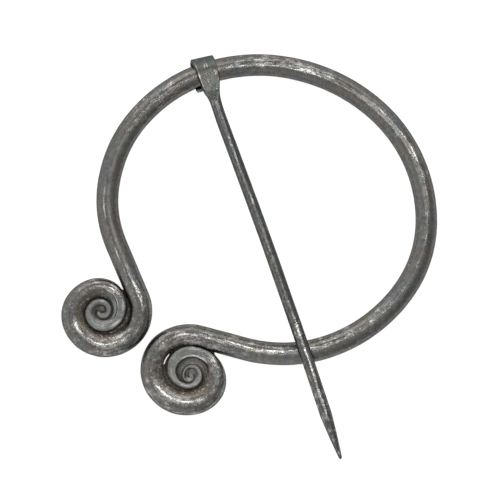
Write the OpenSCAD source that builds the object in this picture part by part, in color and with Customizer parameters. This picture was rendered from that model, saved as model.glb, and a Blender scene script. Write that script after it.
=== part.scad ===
// Open-ring brooch of forged rod: a hoop whose two ends are drawn out and
// rolled into flat scrolls, and a loose pin that turns on the hoop.
// It lies face up on a table, as in use before it is pinned to cloth.

/* [Rod] */
// Diameter of the hoop's rod
rod_d = 4.4; // [4:0.1:4.6]
// Straight run between the hoop's left branch and its scroll
left_run = 10.9; // [9:0.1:13]
// Straight run between the hoop's right branch and its scroll
right_run = 9.3; // [8:0.1:11]

/* [Pin loop] */
// Gap all round between the rod and the pin's loop
loop_gap = 0.35; // [0.25:0.05:0.5]
// Thickness of the flattened strip that is rolled into the loop
strip_t = 0.85; // [0.6:0.05:1]
// Turn of the loop away from square on the rod, in degrees
loop_skew = -2.5; // [-3:0.5:1]

/* [Pin shank] */
// Distance from the loop's axis to the end of the point
pin_len = 81.6; // [78:0.2:84]
// Distance from the loop's axis to where the even part starts
even_start = 62; // [60:0.5:64]
// Length of the point's taper
point_len = 9.4; // [8:0.1:12]
// Diameter of the even part behind the point
shank_d = 2.32; // [2:0.02:2.6]
// Turn of the shank away from square on the loop, in degrees
shank_turn = 4; // [3:0.2:5]
// Gap between the shank and the hoop that it lies on
shank_gap = 0.1; // [0.05:0.05:0.3]

/* [Lie on the table] */
// Distance from the loop to the line on which the hoop rests on the table
rest_span = 60; // [60:0.5:65]
// Direction of the line that the brooch tips about, seen from the hoop's loop
rest_turn = 6; // [0:1:12]

/* [Hidden] */
$fn = 48;

rod_r = rod_d / 2;
bore_r = rod_r + loop_gap;
loop_r = bore_r + strip_t;
shank_r = shank_d / 2;
even_len = pin_len - point_len - even_start;

// Place of the loop's axis over the table, from the middle of the whole brooch
loop_at = [-8.3, 36.6];
// Direction of the rod where the loop sits on it, in degrees
loop_heading = 17;
rest_tilt = asin((loop_r - rod_r) / rest_span);
// Height of the shank's axis over the rod's axis, at the loop and at the crossing
neck_h = bore_r + strip_t / 2;
crossing_h = rod_r + shank_gap + shank_r;
crossing_at = 58.4;
shank_lift = asin((crossing_h - neck_h) / crossing_at);

// The hoop's two branches, from the loop outwards: [bend radius, sweep]
left_bends = [[29.1, 44], [24.0, 52]];
right_bends = [[35.3, 60], [29.6, 45], [24.3, 35], [29.6, 72]];

// The rod is a hair thinner from one bend to the next, from the loop outwards,
// and each piece starts this far inside the one before it
thinning = 0.01;
overlap = 0.05;
left_end_d = rod_d - 2 * thinning * (len(left_bends) + 1);
right_end_d = rod_d - 2 * thinning * (len(right_bends) + 2);

// Scroll sections, by the angle turned from the end of the straight run:
// [turn, outer radius, width, height, squareness]
TURN = 0;
OUTER = 1;
WIDTH = 2;
HEIGHT = 3;
SQUARE = 4;
left_scroll = [
  [0, 10.0, left_end_d, left_end_d, 2.0],
  [45, 9.84, 4.5, 4.4, 2.0],
  [80, 9.36, 4.6, 4.4, 2.0],
  [115, 9.0, 4.65, 4.4, 2.0],
  [160, 8.6, 4.6, 4.4, 2.0],
  [205, 8.2, 4.4, 4.35, 2.1],
  [250, 7.35, 4.0, 4.2, 2.2],
  [295, 6.75, 3.7, 3.9, 2.3],
  [325, 6.2, 3.55, 3.7, 2.5],
  [355, 5.35, 3.2, 3.5, 2.8],
  [385, 4.7, 2.75, 3.3, 3.0],
  [430, 4.1, 2.5, 3.1, 3.0],
  [475, 3.9, 2.5, 2.95, 3.0],
  [530, 3.72, 2.33, 2.8, 2.9],
  [565, 3.66, 2.1, 2.65, 2.8],
  [610, 3.3, 1.8, 2.5, 2.7],
  [655, 2.86, 1.6, 2.35, 2.6],
  [700, 2.25, 1.42, 2.2, 2.5],
  [745, 1.84, 1.3, 2.05, 2.5],
  [790, 1.52, 1.05, 1.9, 2.4],
  [835, 1.34, 0.86, 1.75, 2.3],
  [890, 1.31, 0.72, 1.6, 2.2],
  [935, 1.22, 0.66, 1.5, 2.2],
  [975, 0.94, 0.6, 1.4, 2.2],
  [990, 0.8, 0.4, 1.0, 2.0]
];
lower_scroll = [
  [0, 10.48, right_end_d, right_end_d, 2.0],
  [30, 10.46, 4.3, 4.4, 2.0],
  [60, 10.46, 4.45, 4.4, 2.0],
  [90, 9.94, 4.55, 4.4, 2.0],
  [120, 9.2, 4.7, 4.4, 2.0],
  [150, 8.4, 4.8, 4.4, 2.0],
  [195, 7.74, 4.85, 4.4, 2.1],
  [225, 7.74, 4.8, 4.4, 2.1],
  [255, 7.8, 4.65, 4.3, 2.2],
  [285, 7.46, 4.05, 4.1, 2.4],
  [300, 7.18, 3.55, 3.9, 2.6],
  [315, 6.92, 2.95, 3.7, 3.0],
  [330, 6.6, 2.45, 3.5, 3.6],
  [350, 6.08, 2.1, 3.3, 4.5],
  [375, 5.88, 2.05, 3.1, 5.0],
  [405, 5.6, 2.2, 3.0, 5.0],
  [435, 5.16, 2.3, 2.9, 4.5],
  [465, 4.4, 2.2, 2.8, 4.0],
  [495, 3.3, 1.5, 2.65, 3.5],
  [525, 2.76, 1.4, 2.5, 3.0],
  [570, 2.52, 1.3, 2.3, 3.0],
  [615, 2.72, 1.3, 2.1, 2.8],
  [660, 2.86, 1.2, 1.9, 2.6],
  [700, 2.8, 1.0, 1.75, 2.5],
  [735, 2.45, 0.9, 1.65, 2.4],
  [780, 1.75, 0.85, 1.6, 2.3],
  [825, 1.42, 0.8, 1.55, 2.3],
  [870, 1.26, 0.74, 1.5, 2.3],
  [930, 1.14, 0.66, 1.4, 2.3],
  [990, 1.1, 0.6, 1.3, 2.2],
  [1050, 0.98, 0.52, 1.2, 2.2],
  [1080, 0.8, 0.5, 1.1, 2.2],
  [1095, 0.7, 0.34, 0.8, 2.0]
];
scroll_step = 10;
ring_sides = 20;

// The two branches:
// [side, heading at the loop, thinned before, bends, straight run, scroll].
// Side is 1 where the branch bends to the left, and its scroll turns back.
SIDE = 0;
HEADING = 1;
THINNED = 2;
BENDS = 3;
RUN = 4;
SCROLL = 5;
branches = [
  [1, 180, 0, left_bends, left_run, left_scroll],
  [-1, 0, 1, right_bends, right_run, lower_scroll]
];

// Sideways place of the even part and the point
even_aside = 0.85;
// Shank sections, by the distance from the loop's axis:
// [distance, sideways, width, thickness, squareness]
ALONG = 0;
ASIDE = 1;
shank = [
  [-0.3, 0.13, 4.1, strip_t - 0.03, 7],
  [1, 0.09, 4.0, strip_t, 7],
  [2, 0, 3.75, strip_t + 0.05, 7],
  [3, -0.09, 3.4, 1.0, 6],
  [4, -0.21, 2.95, 1.2, 4.5],
  [5, -0.25, 2.45, 1.5, 3.5],
  [6.5, -0.26, 2.2, 1.85, 2.6],
  [10, -0.23, 2.18, 2.1, 2.2],
  [21, 0.13, 2.2, 2.2, 2],
  [33, 0.48, 2.24, 2.24, 2],
  [45, 0.69, 2.28, 2.28, 2],
  [even_start, even_aside, shank_d - 2 * thinning, shank_d - 2 * thinning, 2]
];
shank_steps = 60;
// The point's radius falls as this power of what is left of its length
bulge = 0.56;
blunt = 0.99;

// Half outlines of the loop's strip, seen from above: [left, right]
loop_outer_edge = [-2.6, 1.95];
loop_top_edge = [-1.9, 2.2];
loop_tail_edge = [-2.9, 1.4];
tail_end_h = 0.4;

// Slope of a table's column at a row: level at both ends
function slope(t, i, c) = (i == 0 || i == len(t) - 1) ? 0 :
  (t[i + 1][c] - t[i - 1][c]) / (t[i + 1][0] - t[i - 1][0]);

function row_before(t, x, i = 0) =
  (i >= len(t) - 2 || x < t[i + 1][0]) ? i : row_before(t, x, i + 1);

// Smooth value of a table's column between its rows
function blend(t, x, c) =
  let (i = row_before(t, x), d = t[i + 1][0] - t[i][0], u = (x - t[i][0]) / d)
  (1 + 2 * u) * pow(1 - u, 2) * t[i][c] + u * pow(1 - u, 2) * d * slope(t, i, c)
  + u * u * (3 - 2 * u) * t[i + 1][c] - u * u * (1 - u) * d * slope(t, i + 1, c);

function signed_power(v, p) = sign(v) * pow(abs(v), p);

// Closed outline between an ellipse, at squareness 2, and a rounded bar
function outline(w, h, square, n) = [
  for (i = [0 : n - 1])
    let (a = 360 * i / n)
    [w / 2 * signed_power(cos(a), 2 / square), h / 2 * signed_power(sin(a), 2 / square)]
];

// Solid through equal rings of points, one ring after another
module skin(rings) {
  n = len(rings[0]);
  last = len(rings) - 1;
  points = [for (r = rings) for (p = r) p];
  sides = [
    for (k = [0 : last - 1]) for (i = [0 : n - 1])
      let (a = k * n + i, b = k * n + (i + 1) % n)
      each [[a, a + n, b], [b, a + n, b + n]]
  ];
  first_cap = [for (i = [0 : n - 1]) i];
  last_cap = [for (i = [n - 1 : -1 : 0]) last * n + i];
  polyhedron(points, concat(sides, [first_cap, last_cap]), convexity = 8);
}

// Place and heading after the first count bends; side is 1 for left turns
function bend_centre(p, h, r, side) = p + side * r * [-sin(h), cos(h)];
function after(bends, count, side, h0) = count == 0 ? [[0, 0], h0] :
  let (s = after(bends, count - 1, side, h0), r = bends[count - 1][0])
  let (h = s[1] + side * bends[count - 1][1], c = bend_centre(s[0], s[1], r, side))
  [c - side * r * [-sin(h), cos(h)], h];

module bend(p, h, r, sweep, side, thick_r) {
  inside = overlap / r * 180 / PI;
  translate(bend_centre(p, h, r, side))
    rotate(side > 0 ? h - 90 - inside : h + 90 - sweep)
      rotate_extrude(angle = sweep + inside)
        translate([r, 0]) circle(r = thick_r);
}

// One ring of a scroll, in the upright plane through the scroll's middle
function scroll_ring(t, x, side) =
  let (w = blend(t, x, WIDTH), mid = blend(t, x, OUTER) - w / 2, a = side * x)
  [for (p = outline(w, blend(t, x, HEIGHT), blend(t, x, SQUARE), ring_sides))
    [(mid + p[0]) * cos(a), (mid + p[0]) * sin(a), p[1]]];

// The first ring's middle is at the origin and the rod comes in along +X
module scroll(t, side) {
  foot = t[0][OUTER] - t[0][WIDTH] / 2;
  last = t[len(t) - 1][TURN];
  turns = [for (x = [0 : scroll_step : last - 1]) x, last];
  ordered = side > 0 ? [for (i = [len(turns) - 1 : -1 : 0]) turns[i]] : turns;
  translate([0, side * foot])
    rotate(-side * 90)
      skin([for (x = ordered) scroll_ring(t, x, side)]);
}

// Straight run with its scroll, which turns to the given side
module rod_end(run, scroll_table, side, thick_r) {
  translate([-overlap, 0]) rotate([0, 90, 0]) cylinder(r = thick_r, h = run + overlap);
  translate([run - overlap, 0]) scroll(scroll_table, side);
}

// One of a branch's bends, or after the last bend its end
module branch_piece(b, k) {
  start = after(b[BENDS], k, b[SIDE], b[HEADING]);
  thick_r = rod_r - thinning * (b[THINNED] + k);
  if (k < len(b[BENDS]))
    bend(start[0], start[1], b[BENDS][k][0], b[BENDS][k][1], b[SIDE], thick_r);
  else
    translate(start[0]) rotate(start[1])
      rod_end(b[RUN], b[SCROLL], -b[SIDE], thick_r);
}

// From the rod's axis at the loop to the brooch as it lies on the table
module at_rest() {
  translate([loop_at[0], loop_at[1], loop_r])
    rotate(loop_heading + rest_turn)
      rotate([rest_tilt, 0, 0])
        rotate(-rest_turn)
          children();
}

module ring() {
  color("dimgray") at_rest()
    for (b = branches, k = [0 : len(b[BENDS])]) branch_piece(b, k);
}

// The loop: a band round the rod, open on the side of the hoop's middle. Seen
// from above it narrows towards the shank, and its tail drifts to the left.
module loop() {
  wide = 2 * loop_r;
  intersection() {
    rotate([0, 90, 0]) difference() {
      cylinder(r = loop_r, h = wide, center = true);
      cylinder(r = bore_r, h = wide + 1, center = true);
    }
    union() {
      linear_extrude(loop_r + 1) polygon([
        [loop_top_edge[0], 0], [loop_top_edge[1], 0],
        [loop_outer_edge[1], loop_r + 0.1], [loop_outer_edge[0], loop_r + 0.1]
      ]);
      translate([0, 0, -loop_r - 1]) linear_extrude(loop_r + 1) polygon([
        [loop_tail_edge[0], -loop_r - 0.1], [loop_tail_edge[1], -loop_r - 0.1],
        [loop_outer_edge[1], loop_r + 0.1], [loop_outer_edge[0], loop_r + 0.1]
      ]);
      translate([loop_tail_edge[0], -loop_r - 1, -1])
        cube([loop_tail_edge[1] - loop_tail_edge[0], loop_r, tail_end_h + 1]);
    }
  }
}

function shank_ring(x) = [
  for (p = outline(blend(shank, x, WIDTH), blend(shank, x, HEIGHT),
                   blend(shank, x, SQUARE), ring_sides))
    [blend(shank, x, ASIDE) + p[0], -x, neck_h + p[1]]
];

// Closer rings where the strip turns into the round shank
function shank_station(k) =
  shank[0][ALONG] + (even_start - shank[0][ALONG]) * pow(k / shank_steps, 2);

module pin_shape() {
  loop();
  rotate(shank_turn) {
    skin([for (k = [0 : shank_steps]) shank_ring(shank_station(k))]);
    translate([even_aside, -even_start, neck_h]) rotate([90, 0, 0]) {
      translate([0, 0, -overlap]) cylinder(r = shank_r, h = even_len + overlap);
      translate([0, 0, even_len]) point();
    }
  }
}

// Blunt point with bulging sides
module point() {
  steps = 8;
  rotate_extrude() polygon(concat([[0, 0]], [
    for (k = [0 : steps])
      let (u = blunt * sin(90 * k / steps))
      [shank_r * pow(1 - u, bulge), point_len * u / blunt]
  ], [[0, point_len]]));
}

module pin() {
  color("slategray") at_rest()
    rotate(loop_skew)
      rotate([-shank_lift, 0, 0])
        pin_shape();
}

ring();
pin();
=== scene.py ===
# Looks of a forged open-ring brooch. One rod makes the hoop and its two rolled scrolls, and
# another makes the pin, whose flat head is rolled round the hoop. Each is swept section by
# section along the same line as its CAD solid, which it replaces, with hammered relief.
import math

import bpy
import numpy as np
from mathutils import Matrix, Vector, noise


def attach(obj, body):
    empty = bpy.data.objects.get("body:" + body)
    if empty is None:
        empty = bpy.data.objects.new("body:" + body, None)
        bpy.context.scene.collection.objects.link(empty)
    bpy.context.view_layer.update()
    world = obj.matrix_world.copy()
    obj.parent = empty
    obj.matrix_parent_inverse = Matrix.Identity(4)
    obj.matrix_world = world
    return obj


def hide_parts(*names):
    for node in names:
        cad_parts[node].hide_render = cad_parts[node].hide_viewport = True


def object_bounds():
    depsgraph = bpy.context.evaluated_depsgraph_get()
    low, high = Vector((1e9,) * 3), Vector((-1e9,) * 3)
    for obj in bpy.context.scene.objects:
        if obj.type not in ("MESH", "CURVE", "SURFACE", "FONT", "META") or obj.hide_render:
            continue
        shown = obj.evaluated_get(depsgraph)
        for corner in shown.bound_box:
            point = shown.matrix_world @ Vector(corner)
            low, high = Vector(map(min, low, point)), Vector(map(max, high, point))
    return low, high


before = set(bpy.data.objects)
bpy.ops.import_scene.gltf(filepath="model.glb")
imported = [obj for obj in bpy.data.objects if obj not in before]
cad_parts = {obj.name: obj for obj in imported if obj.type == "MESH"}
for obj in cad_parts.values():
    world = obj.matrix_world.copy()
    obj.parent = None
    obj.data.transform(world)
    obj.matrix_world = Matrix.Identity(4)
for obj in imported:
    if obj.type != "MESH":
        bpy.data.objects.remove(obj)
cad_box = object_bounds()

MM = 0.001

# Sizes in millimetres and degrees, as in the CAD part
ROD_D = 4.4
LEFT_RUN = 10.9
RIGHT_RUN = 9.3
LOOP_GAP = 0.35
STRIP_T = 0.85
LOOP_SKEW = -2.5
PIN_LEN = 81.6
EVEN_START = 62
POINT_LEN = 9.4
SHANK_D = 2.32
SHANK_TURN = 4
SHANK_GAP = 0.1
REST_SPAN = 60
REST_TURN = 6
LOOP_AT = (-8.3, 36.6)
LOOP_HEADING = 17
CROSSING_AT = 58.4
EVEN_ASIDE = 0.85
THINNING = 0.02
# The shank is this much wider than the CAD solid on each side, and this far to its left
PIN_SWELL = 0.05
SHANK_LEFT = 0.07

ROD_R = ROD_D / 2
BORE_R = ROD_R + LOOP_GAP
LOOP_R = BORE_R + STRIP_T
NECK_H = BORE_R + STRIP_T / 2
SHANK_R = SHANK_D / 2

# The hoop's branches from the loop outwards: (bend radius, sweep)
LEFT_BENDS = [(29.1, 44), (24.0, 52)]
RIGHT_BENDS = [(35.3, 60), (29.6, 45), (24.3, 35), (29.6, 72)]
LEFT_END_D = ROD_D - THINNING * (len(LEFT_BENDS) + 1)
RIGHT_END_D = ROD_D - THINNING * (len(RIGHT_BENDS) + 2)

# Scroll sections by the angle turned. Inner and outer are the squareness of the section's
# two halves: 2 is a half round, and 6 a flat side with sharp edges.
TURN, OUTER, WIDTH, HEIGHT, SQ_OUTER, SQ_INNER = range(6)
LEFT_SCROLL = [
    (0, 10, LEFT_END_D, LEFT_END_D, 2, 2),
    (45, 9.84, 4.5, 4.4, 2, 2),
    (80, 9.36, 4.6, 4.4, 2, 2),
    (115, 9, 4.65, 4.4, 2, 2),
    (160, 8.6, 4.6, 4.4, 2, 2),
    (205, 8.2, 4.4, 4.35, 2.1, 2.1),
    (250, 7.35, 4, 4.2, 2.2, 2.1),
    (295, 6.75, 3.7, 3.9, 2.4, 2),
    (325, 6.2, 3.55, 3.7, 2.8, 1.9),
    (355, 5.35, 3.2, 3.5, 4.5, 1.8),
    (385, 4.66, 2.75, 3.3, 6.5, 1.7),
    (430, 4.1, 2.5, 3.1, 7, 1.7),
    (475, 3.88, 2.5, 2.95, 6.5, 1.7),
    (530, 3.7, 2.33, 2.8, 5, 1.8),
    (565, 3.6, 2.1, 2.65, 4, 1.9),
    (610, 3.22, 1.8, 2.5, 3.2, 2),
    (655, 2.78, 1.6, 2.35, 3.6, 2.2),
    (700, 2.22, 1.42, 2.2, 4, 2.4),
    (745, 1.8, 1.3, 2.05, 4, 2.4),
    (790, 1.52, 1.1, 1.9, 3.6, 2.4),
    (835, 1.34, 1, 1.8, 3, 2.4),
    (890, 1.31, 1.05, 1.7, 2.8, 2.4),
    (925, 1.2, 0.95, 1.5, 2.4, 2.4),
    (945, 1.05, 0.6, 1.1, 2, 2),
]
LOWER_SCROLL = [
    (0, 10.48, RIGHT_END_D, RIGHT_END_D, 2, 2),
    (30, 10.46, 4.3, 4.4, 2, 2),
    (60, 10.46, 4.45, 4.4, 2, 2),
    (90, 9.94, 4.55, 4.4, 2, 2),
    (120, 9.2, 4.7, 4.4, 2, 2),
    (150, 8.4, 4.8, 4.4, 2, 2),
    (195, 7.74, 4.85, 4.4, 2.1, 2.1),
    (225, 7.74, 4.8, 4.4, 2.1, 2.1),
    (255, 7.8, 4.65, 4.3, 2.2, 2.2),
    (285, 7.46, 4.05, 4.1, 2.4, 2.4),
    (300, 7.2, 3.25, 3.9, 2.6, 3.6),
    (315, 6.96, 2.65, 3.7, 3.4, 5),
    (330, 6.72, 2.4, 3.5, 4.5, 9),
    (350, 6.36, 2.15, 3.3, 6, 12),
    (375, 6.2, 2.24, 3.1, 6, 12),
    (405, 5.86, 2.42, 3, 5, 10),
    (435, 5.24, 2.36, 2.9, 2.4, 6.5),
    (465, 4.42, 2.24, 2.8, 1.7, 5.5),
    (495, 3.36, 1.6, 2.65, 1.8, 4.4),
    (525, 2.76, 1.4, 2.5, 2.4, 3.4),
    (570, 2.52, 1.3, 2.3, 3, 3),
    (615, 2.72, 1.3, 2.1, 3, 2.6),
    (660, 2.86, 1.2, 1.9, 2.8, 2.4),
    (700, 2.8, 1, 1.75, 2.6, 2.4),
    (735, 2.45, 0.9, 1.65, 2.6, 2.4),
    (780, 1.75, 0.85, 1.6, 2.5, 2.4),
    (825, 1.42, 0.8, 1.55, 2.4, 2.3),
    (870, 1.26, 0.74, 1.5, 2.3, 2.3),
    (930, 1.14, 0.66, 1.4, 2.3, 2.3),
    (990, 1.1, 0.6, 1.3, 2.2, 2.2),
    (1050, 0.98, 0.52, 1.2, 2.2, 2.2),
    (1080, 0.8, 0.5, 1.1, 2.2, 2.2),
    (1095, 0.7, 0.34, 0.8, 2, 2),
]

# The strip rolled round the rod, by the angle from its top over the hoop's outside:
# (angle, left edge, right edge). Its tail end rounds off over a few degrees, thin and narrow.
ANGLE, LEFT, RIGHT = range(3)
LOOP_STRIP = [
    (0, -1.9, 2.2),
    (90, -2.6, 1.95),
    (180, -2.8, 1.65),
    (278, -2.9, 1.4),
]
TAIL_ROUNDS = 9
TAIL_THIN = 0.1
TAIL_NARROW = 0.86

# Shank sections: (distance from the loop's axis, sideways, width, thickness, squareness)
ASIDE, ACROSS, THICK, SQUARE = range(1, 5)
SHANK = [
    (-0.3, 0.13, 4.1, STRIP_T, 7),
    (1, 0.09, 4.0, STRIP_T, 7),
    (2, 0, 3.75, STRIP_T + 0.05, 7),
    (3, -0.09, 3.4, 1.0, 6),
    (4, -0.21, 2.95, 1.2, 4.5),
    (5, -0.25, 2.45, 1.5, 3.5),
    (6.5, -0.26, 2.2, 1.85, 2.6),
    (10, -0.23, 2.18, 2.1, 2.2),
    (21, 0.13, 2.2, 2.2, 2),
    (33, 0.48, 2.24, 2.24, 2),
    (45, 0.69, 2.28, 2.28, 2),
    (EVEN_START, EVEN_ASIDE, SHANK_D, SHANK_D, 2),
]
# The point's taper, how blunt its end is, the part of the taper that rounds its end, and the
# length that its flat tip takes off
BULGE = 0.75
BLUNT = 0.2
TIP_ROUND = 0.03
POINT_CUT = 0.02
# The strip leans, so that its left edge stands off the rod, and its left side slopes out to the rod
STRIP_LEAN = 2.2
STRIP_FLARE = 0.34
# The radius of its edges, which grows to a round section where the squareness falls over this span
EDGE_R = 0.24
ROUNDS_OFF = (2.1, 6.5)
# The strip's left edge is turned up: place from the edge, half width and height. It is worn and has a
# painted highlight, brightest where the strip bends over the rod: middle and half length along the pin.
BEVEL_IN = 0.16
BEVEL_WIDE = 0.13
BEVEL_HIGH = 0.05
BEND_HIGHLIGHT_PLACE = (0.3, 1.1)
# Distances from the loop's axis over which the strip's flat look ends, its sections turn to the
# shank's way, and the shank moves to the left
FLAT_ENDS = (3, 6)
SHANK_TURNS = (0, 4)
SHANK_MOVES = (4, 10)
# Wax and soot gather on the rod this far from the loop's middle, along the rod
GRIME_REACH = (2.4, 4.0)

# Places along the rod are distances from the loop, below zero on the left branch, and along the pin
# from the loop down its shank. Tilts are degrees from straight up to the outside of the hoop, and to
# the pin's right.
# Soft flats that the hammer left: (start, end, tilt, depth)
HOOP_FLATS = [
    (4, 30, 11, 0.05),
    (24, 62, 8, 0.065),
    (54, 86, -32, 0.05),
    (92, 118, -10, 0.04),
    (-56, -24, 26, 0.07),
]
PIN_FLATS = [
    (10, 52, 46, 0.06),
    (46, 78, 44, 0.05),
    (12, 52, 8, 0.045),
    (48, 78, 9, 0.06),
]
# How far a flat or ridge takes to fade in and out, how soft a flat's edges are, and how many
# degrees it wanders. Waves along the rod are (height, length, how many times the start shifts it).
FADE = 6
FLAT_SOFT = 0.035
FLAT_WANDER = 3.5
FLAT_WAVES = [(1.0, 2.9, 1), (0.6, 1.3, 2)]
DEPTH_WAVES = [(0.3, 2.1, 3)]
# Ridges between blows, raised a little and given a painted highlight of bare metal where the light runs
# along the rod: (start, end, tilt at start, tilt at end, half width, how bright)
HOOP_HIGHLIGHT_RIDGES = [
    (3, 15, 22, 24, 5, 0.7),
    (11, 36, 14, 20, 6, 0.7),
    (14, 34, -5, -3, 3.6, 0.5),
    (32, 60, 18, 21, 7, 1.1),
    (56, 72, 8, 2, 2.4, 0.8),
    (66, 88, 3, -11, 2, 1.3),
    (74, 94, -12, -20, 2, 1.0),
    (82, 98, -4, 0, 3, 0.5),
    (98, 122, -18, -14, 3.6, 1.1),
    (-16, -1, 16, 24, 3.6, 1.0),
    (-34, -14, 4, 8, 3, 0.4),
    (-52, -27, 13, 20, 2.8, 2.0),
    (-60, -47, -4, 0, 3.6, 0.9),
]
PIN_HIGHLIGHT_RIDGES = [
    (8, 24, 8, 12, 3.6, 0.2),
    (10, 34, 12, 10, 7, 0.6),
    (40, 56, 12, 10, 5, 0.5),
    (50, 76, 9, 11, 14, 1.8),
    (70, 82, -14, -16, 12, 1.2),
]
RIDGE_HIGH = 0.02
# Ridges wander by degrees, the narrow ones less, and their painted highlight is broken into lines
RIDGE_WAVES = [(1.6, 2.3, 1), (1.2, 0.9, 2)]
WANDER_WIDTH = 4
BROKEN = 0.75
BREAK_WAVES = [(0.25, 0.7, 5), (0.2, 1.9, 3)]
# Painted highlight lines of bare metal along the coils' edges, and the edge where the left scroll's flat top
# ends:
# (turn at start, turn at end, place across at start, at end, half width, how bright)
LEFT_LINES = [
    (296, 405, 0.08, 0.3, 0.07, 1.2),
    (402, 450, -0.5, -0.4, 0.2, 1.1),
]
LOWER_LINES = [
    (316, 400, 0.78, 0.78, 0.13, 2.0),
    (418, 505, 0.0, 0.1, 0.12, 1.3),
    (500, 575, 0.0, 0.1, 0.2, 1.1),
]
# Degrees of turn over which a line fades in and out
LINE_FADE = 14
# Past the edge in the first row for the left scroll, the coil's flank drops by this much
CREASE_DEPTH = 0.3
CREASE_WIDE = 0.14
NO_STEP = (0.0, 0.0)
# Stretches of the hoop and of the pin with a calm skin of scale: (start, end, how calm)
CALM = [(-52, -18, 1.0), (20, 58, 0.4), (50, 92, 0.5)]
PIN_CALM = [(4, 22, 0.65), (16, 36, 0.7), (30, 56, 0.35)]
# A stretch where the side that faces into the hoop is calmer: start, end, how calm
CALM_INSIDE = (0, 62, 0.8)
# Stretches whose outer side is worn and painted bright, a painted highlight on the crest: (start, end, how
# bright)
CREST_HIGHLIGHTS = [(-82, -60, 0.42), (112, 134, 0.2), (134, 152, 0.48)]
# and one whose outer side is smooth and grey: start, end, how smooth
SATIN = (90, 118, 0.42)
# The blows also left the rod wider here and there: (distance, more outside the hoop, more inside)
OUTSIDE, INSIDE = 1, 2
HOOP_SWELL = [
    (-64, 0, 0),
    (-56, 0.06, -0.02),
    (-44, 0, 0),
    (-36, 0.08, -0.08),
    (-28, 0.02, 0.04),
    (-20, 0.08, -0.06),
    (-10, 0.04, 0.02),
    (12, 0, -0.06),
    (20, -0.07, 0.03),
    (36, -0.05, 0.02),
    (60, -0.05, 0),
    (68, 0.06, 0),
    (76, 0.09, 0.06),
    (84, 0.07, 0.15),
    (92, 0.12, 0.13),
    (100, 0.19, 0.06),
    (118, 0.16, 0.07),
    (132, 0, 0),
]

# The coils of a scroll meet below their tops, by skirts that overlap this much. A skirt starts
# this share of the height below the top, curves by a power that grows where its gap is deep, and
# grows from the middle of the coil to its side. A gap narrower than the least has none.
MEET = 0.06
SKIRT_START = 0.2
SKIRT_CURVE = (0.75, 1.75)
SKIRT_SIDES = (0.3, 0.9)
DEEP = (0.45, 1.0)
LEAST_GAP = 0.02
# Places of the lower scroll that stay open, so that the table shows through:
# (middle and half length in degrees of turn, width)
LIGHT_GAPS = [(427, 17, 0.22), (457, 4, 0.12)]
OPEN_SHARE = 0.6
# Wax fills the seam outside the inner coils
SEAM_FILL = 0.4
# Turn at which each scroll closes on its own straight run, and how many degrees before and after
# it the skirt grows there
LEFT_CLOSES = 337
LOWER_CLOSES = 329
BEFORE_CLOSING = 4
AFTER_CLOSING = 2
# The tops of the inner coils lean to the middle by this many degrees
TOP_LEAN = 2.5
# and have a burr along their inner edge: place across, half width and height
BURR = (0.8, 0.12, 0.06)

# Turns of a scroll over which something comes or goes: the skirt to the coil inside, the wax fill,
# the lean and burr of the coils' tops, and the end of the burr
INSIDE_GROWS = (270, 320)
FILL_GROWS = (362, 372)
TOP_GROWS = (320, 400)
BURR_ENDS = (480, 560)
# the smooth skin of the drawn-out coils, less in the left scroll's middle and more in the lower's
DRAWN_GROWS = (300, 380)
LEFT_DRAWN_ENDS = (480, 570)
LOWER_DRAWN_GROWS = (430, 480)
# the calm skin inside the left scroll, and the grey middle of both
CALM_GROWS = (460, 560)
CORE_GROWS = (560, 680)
# wear on the outside of the rolled rod, wax on its inner side, and soot in the seams
ROLLED_GROWS = (60, 120)
WAX_GROWS = (30, 110)
WAX_ENDS = (285, 330)
SOOT_GROWS = (250, 340)

# Relief: length and width of a facet, size of a dent and of a flake of scale
FACET, DENT, FLAKE = (14, 1.5), 1.7, 0.8
PIN_FACET, PIN_DENT, PIN_FLAKE = (9, 0.9), 1.3, 0.6
# Their heights, and how far the skin stands out in all. The strip has no facets.
RELIEF = (0.03, 0.03, 0.012, 0.015)
PIN_RELIEF = (0.025, 0.015, 0.006, PIN_SWELL)
STRIP_RELIEF = (0.045, 0.012, -0.02)
CALM_FLATTENS = 0.6
# Thinner metal has less relief, down to this share, and the strip none at its thin end
LEAST_RELIEF = 0.35
PIN_LEAST_RELIEF = 0.05
STRIP_RELIEF_GROWS = (0.3, 0.8)
# Each seed moves the noise this far
SEED_STEP = (17.3, 5.7, 11.1)
# How much facets, dents and scale count in what stands high and is brushed bare
BARED_BY = (0.55, 0.7, 0.45)
# and how much the painted highlights of ridges, lines, the strip's edge and its bend add, with the wear on
# the outside of the rolled rod, and calm skin takes away
RIDGE_HIGHLIGHT_ADDS = 0.55
LINE_HIGHLIGHT_ADDS = 0.6
ROLLED_BARES = 0.1
CALM_KEEPS = 0.25
PIN_RIDGE_HIGHLIGHT_ADDS = 0.6
BEVEL_HIGHLIGHT_ADDS = 1.2
BEND_WEAR_AND_HIGHLIGHT = 0.4
PIN_CALM_KEEPS = 0.3
MOST_BARE = 1.4

# Heights in millimetres over which the rod's upper side starts
ABOVE = (0.3, 0.9)
# Places across the rod over which something grows. They count from the rod's middle to 1 at the
# outside of the hoop, which in a scroll is the side of its middle,
SATIN_SIDE = (-0.3, 0.3)
CREST_HIGHLIGHT_SIDE = (-0.5, 0.1)
WAX_SIDE = (0.1, 0.85)
# and these two to 1 at the other side
INNER_SIDE = (0.1, 0.4)
ROLLED_SIDE = (0, 0.5)
# Wax and soot in the seams, by how far a skirt moved a point in millimetres: towards the coil
# outside, and towards the middle of the scroll, with how much
SEAM_OUT, SEAM_IN = (0.03, 0.3, 1.0), (0.1, 0.6, 0.45)
SOOT_OUT, SOOT_IN = (0.15, 0.6, 0.3), (0.15, 0.6, 0.6)
CORE_CLEANS = 0.6
# How calm the left scroll's middle is, how far the drawn look fades there and gains in the lower
# scroll, how drawn satin looks, and how calm drawn coils are
LEFT_CALM = 0.8
LEFT_DRAWN_FADES = 0.5
LOWER_DRAWN_GAINS = 0.3
SATIN_DRAWN = 0.8
DRAWN_CALM = 0.1
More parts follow.
